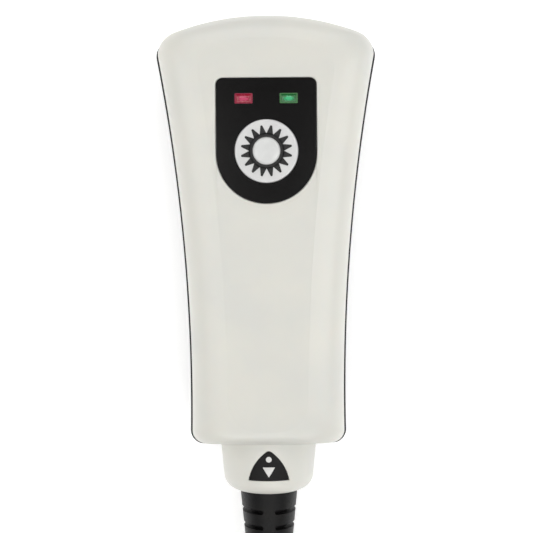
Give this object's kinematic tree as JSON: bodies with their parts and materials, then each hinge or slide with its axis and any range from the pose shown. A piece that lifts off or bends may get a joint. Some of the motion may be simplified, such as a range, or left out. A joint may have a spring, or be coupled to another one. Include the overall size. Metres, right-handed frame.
{
  "type": "light meter",
  "caption": "Handheld waisted light meter head with a sun-marked sensor button, two status windows, a latched neck collar, a slotted strain relief and a coiled lead.",
  "frame": {"origin": "middle of the housing's flat back, on the surface that the meter lies on", "axes": "+X across the face to the right, +Y along the housing towards its wide head, +Z out of the face"},
  "size_m": [0.0945, 0.297, 0.0354],
  "materials": {
    "white_shell": "satin",
    "black_shell": "satin",
    "black_rubber": "matte",
    "zinc_steel": "satin",
    "silver_foil": "satin",
    "black_panel": "satin",
    "red_lens": "glossy",
    "green_lens": "glossy",
    "white_button": "satin",
    "black_ink": "matte",
    "opal_lens": "satin",
    "grey_silicone": "matte",
    "gold_plate": "polished",
    "dark_resin": "matte",
    "board_green": "satin",
    "ceramic_tan": "matte",
    "nylon_white": "satin",
    "wire_sleeve": "satin",
    "grained_black": "grained",
    "white_inlay": "satin",
    "nylon_grey": "satin",
    "cord_jacket": "satin",
    "tie_fabric": "woven",
    "nickel_shell": "satin"
  },
  "bodies": {
    "housing": {"front_cover": "white_shell", "rear_cover": "black_shell", "seam_gasket": "black_rubber", "case_screws": "zinc_steel", "rear_plate": "silver_foil", "panel_overlay": "black_panel", "red_window": "red_lens", "green_window": "green_lens", "red_lamp": "red_lens", "green_lamp": "green_lens", "return_membrane": "grey_silicone", "contact_ring": "gold_plate", "light_sensor": "dark_resin", "circuit_board": "board_green", "board_screws": "zinc_steel", "microcontroller": "dark_resin", "board_components": "ceramic_tan", "board_connector": "nylon_white", "inner_wires": "wire_sleeve", "neck_collar": "white_shell", "latch_spring": "zinc_steel", "plug_body": "nylon_grey", "socket_block": "nylon_grey", "contact_pins": "gold_plate", "strain_relief_boot": "grained_black", "cord": "cord_jacket", "cord_coil": "cord_jacket", "cord_tail": "cord_jacket", "cord_tie": "tie_fabric", "end_plug_grip": "grained_black", "end_plug_shell": "nickel_shell", "end_plug_insert": "nylon_grey", "end_plug_pins": "gold_plate"},
    "sun_button": {"sun_button": "white_button", "sun_print": "black_ink", "light_diffuser": "opal_lens"},
    "latch": {"release_latch": "grained_black", "latch_marks": "white_inlay"}
  },
  "joints": [
    {"name": "button_press", "type": "slide", "parent": "housing", "child": "sun_button", "axis": [0, 0, -1], "range_m": [0, 0.0008], "stiffness_N_per_m": 2500, "springref_m": -0.0002, "deforming": ["return_membrane"]},
    {"name": "latch_press", "type": "slide", "parent": "housing", "child": "latch", "axis": [0, 0, -1], "range_m": [0, 0.001], "stiffness_N_per_m": 3000, "springref_m": -0.0002, "deforming": ["latch_spring"]}
  ]
}
